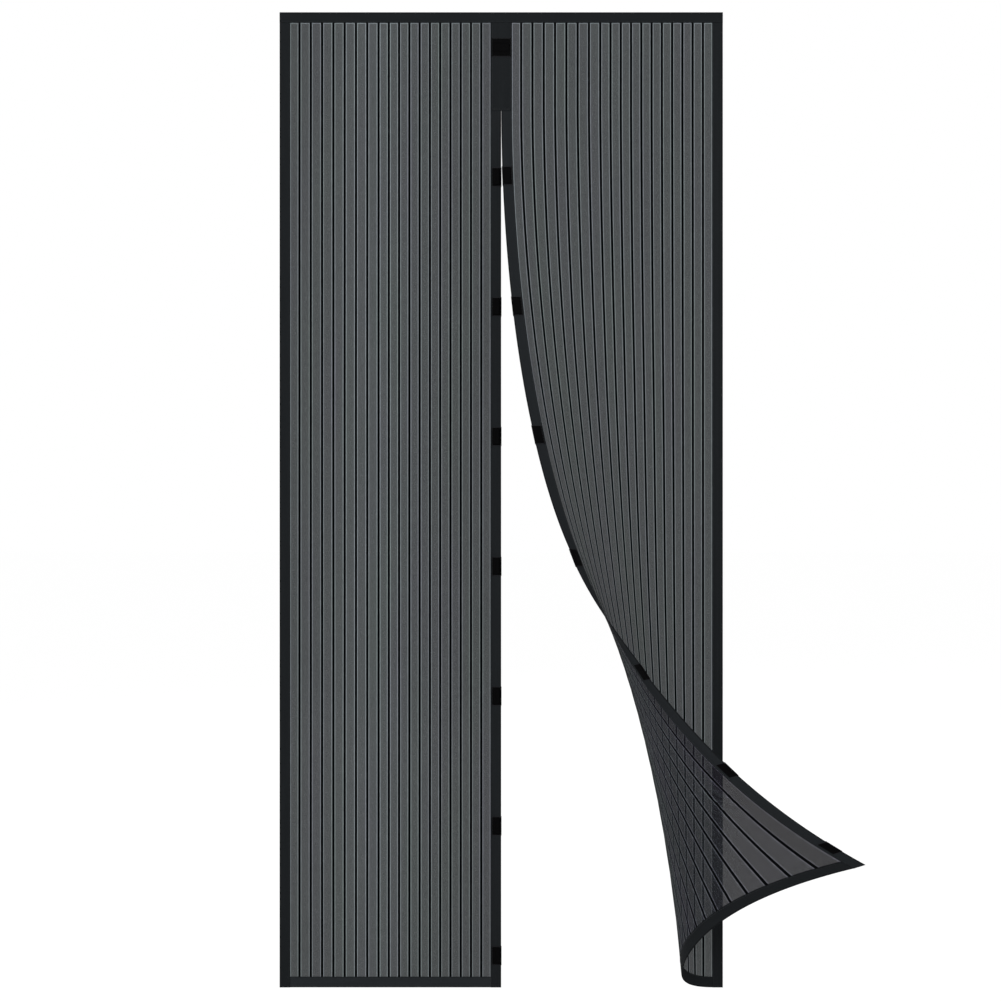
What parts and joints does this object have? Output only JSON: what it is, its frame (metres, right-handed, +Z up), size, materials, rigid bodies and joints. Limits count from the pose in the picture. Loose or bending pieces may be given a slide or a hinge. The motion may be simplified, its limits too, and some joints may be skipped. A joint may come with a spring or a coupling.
{
  "type": "magnetic insect screen",
  "caption": "Doorway insect screen of two dark striped mesh curtains bound with tape, which hang side by side and close on magnets; one lower corner is drawn open.",
  "frame": {"origin": "middle of the top hook strip's back face, where it is pressed on to the door frame", "axes": "+Z up, +Y towards the door frame behind the screen, +X to the right as seen from the room"},
  "size_m": [1.2139, 0.4637, 2.2],
  "materials": {
    "knitted_mesh": "sheer knitted polyester with denser dark stripes",
    "edge_tape": "matt woven polyester tape",
    "pouch_cloth": "matt black woven tape",
    "magnet": "plain grey magnet, hidden in its pouch",
    "hook_tape": "black nylon hook tape"
  },
  "bodies": {
    "root": {"left_mesh_panel": "knitted_mesh", "right_mesh_panel": "knitted_mesh", "top_binding": "edge_tape", "left_side_binding": "edge_tape", "right_side_binding": "edge_tape", "left_centre_binding": "edge_tape", "right_centre_binding": "edge_tape", "left_hem_binding": "edge_tape", "right_hem_binding": "edge_tape", "centre_join_strip": "edge_tape", "top_pouch": "pouch_cloth", "left_pouch_1": "pouch_cloth", "left_pouch_2": "pouch_cloth", "left_pouch_3": "pouch_cloth", "left_pouch_4": "pouch_cloth", "left_pouch_5": "pouch_cloth", "left_pouch_6": "pouch_cloth", "left_pouch_7": "pouch_cloth", "right_pouch_1": "pouch_cloth", "right_pouch_2": "pouch_cloth", "right_pouch_3": "pouch_cloth", "right_pouch_4": "pouch_cloth", "right_pouch_5": "pouch_cloth", "right_pouch_6": "pouch_cloth", "right_pouch_7": "pouch_cloth", "top_magnet": "magnet", "left_magnet_1": "magnet", "left_magnet_2": "magnet", "left_magnet_3": "magnet", "left_magnet_4": "magnet", "left_magnet_5": "magnet", "left_magnet_6": "magnet", "left_magnet_7": "magnet", "right_magnet_1": "magnet", "right_magnet_2": "magnet", "right_magnet_3": "magnet", "right_magnet_4": "magnet", "right_magnet_5": "magnet", "right_magnet_6": "magnet", "right_magnet_7": "magnet", "top_hook_strip": "hook_tape", "left_hook_strip": "hook_tape", "right_hook_strip": "hook_tape"}
  },
  "joints": []
}
